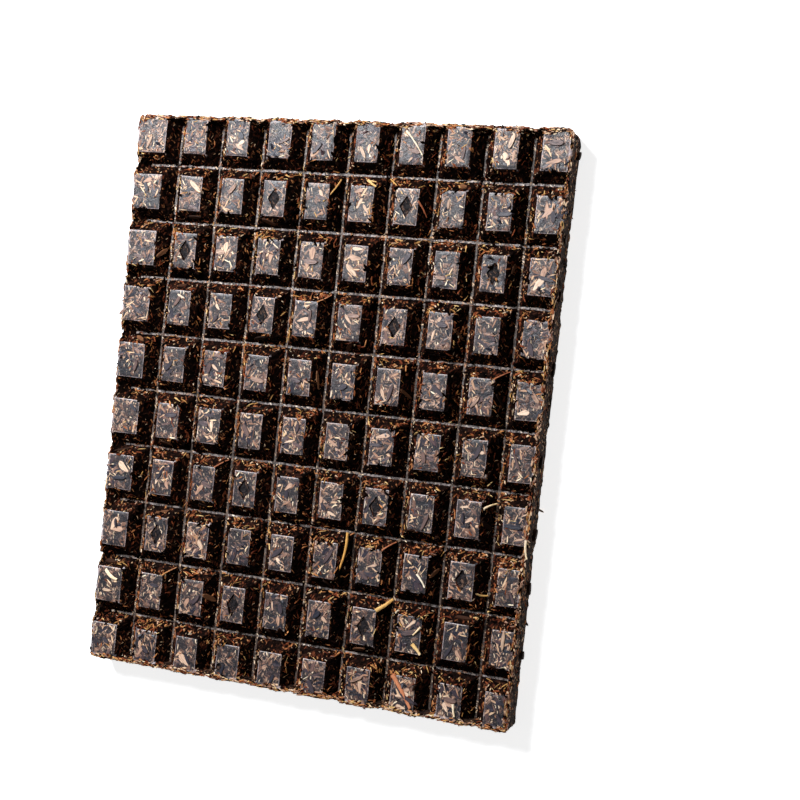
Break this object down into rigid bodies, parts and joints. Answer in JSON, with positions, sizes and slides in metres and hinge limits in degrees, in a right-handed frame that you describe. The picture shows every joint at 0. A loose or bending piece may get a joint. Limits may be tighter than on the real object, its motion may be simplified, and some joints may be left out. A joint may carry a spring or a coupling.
{
  "type": "tea brick",
  "caption": "Flat brick of pressed dark tea, moulded into rows of break-off blocks divided by sloping grooves, with leaf flakes and stems in its face.",
  "frame": {"origin": "on the flat back, under the middle of the brick's outline; the brick lies on its back with the blocks up", "axes": "+Z out of the moulded face (up), +Y along the brick's long side towards the far edge, +X to the right along its short side"},
  "size_m": [0.2426, 0.2922, 0.016],
  "materials": {
    "pressed_tea": "pressed dry tea leaf: satin slate-brown block tops, rough near-black slopes, tan and rust flakes"
  },
  "bodies": {
    "root": {"tea_brick": "pressed_tea"}
  },
  "joints": []
}
